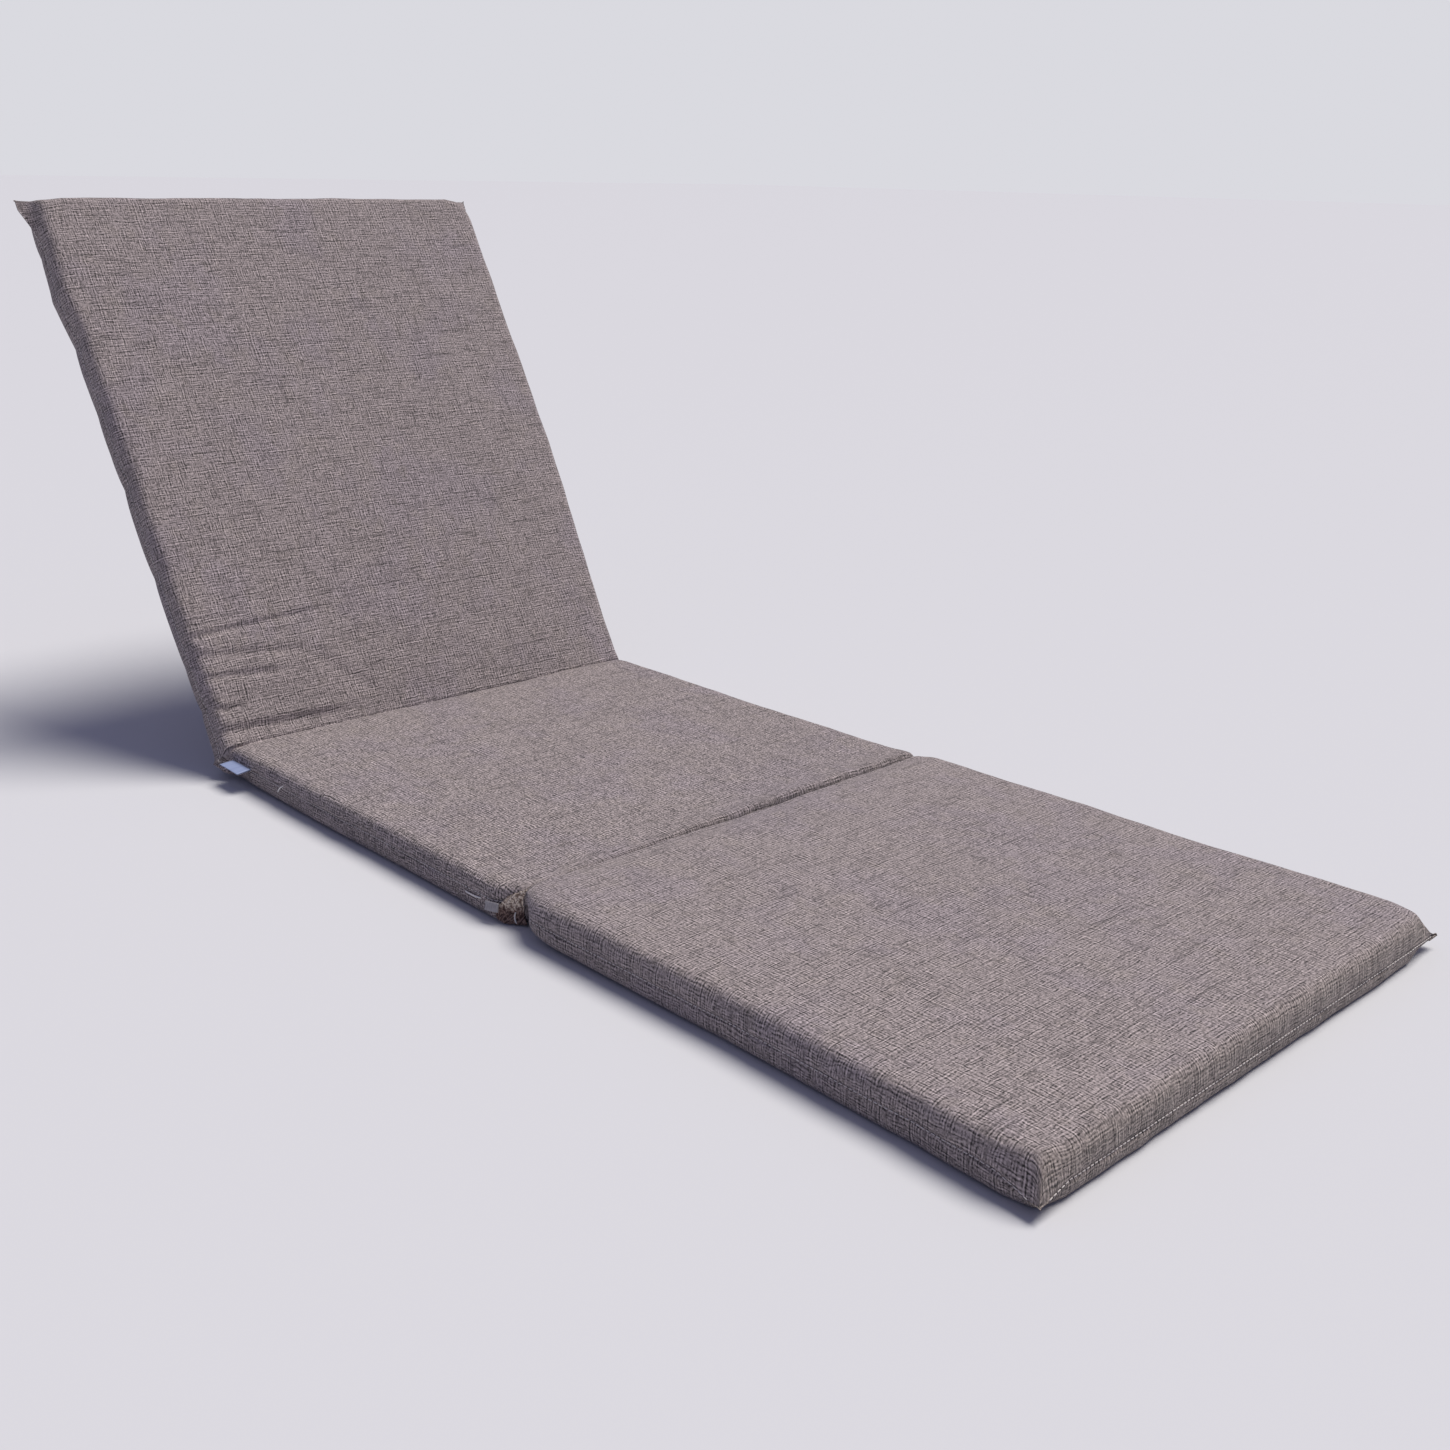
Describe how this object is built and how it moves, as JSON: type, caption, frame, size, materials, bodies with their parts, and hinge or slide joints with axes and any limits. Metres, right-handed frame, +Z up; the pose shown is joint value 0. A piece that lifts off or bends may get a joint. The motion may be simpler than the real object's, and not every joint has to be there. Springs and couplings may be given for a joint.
{
  "type": "sun lounger cushion",
  "caption": "Padded cushion for a sun lounger: leg, seat and raised back pads in a sewn cover, with a channel, a fold and corner ears.",
  "frame": {"origin": "middle of the seat pad's underside", "axes": "+Z up from the ground that the cushion lies on, +Y towards the head end of the raised back, +X across the cushion"},
  "size_m": [0.6641, 1.535, 0.6401],
  "materials": {
    "cover": "heathered linen-look woven polyester, matt",
    "label": "woven satin ribbon"
  },
  "bodies": {
    "root": {"cushion": "cover", "label": "label", "tab": "cover"}
  },
  "joints": []
}
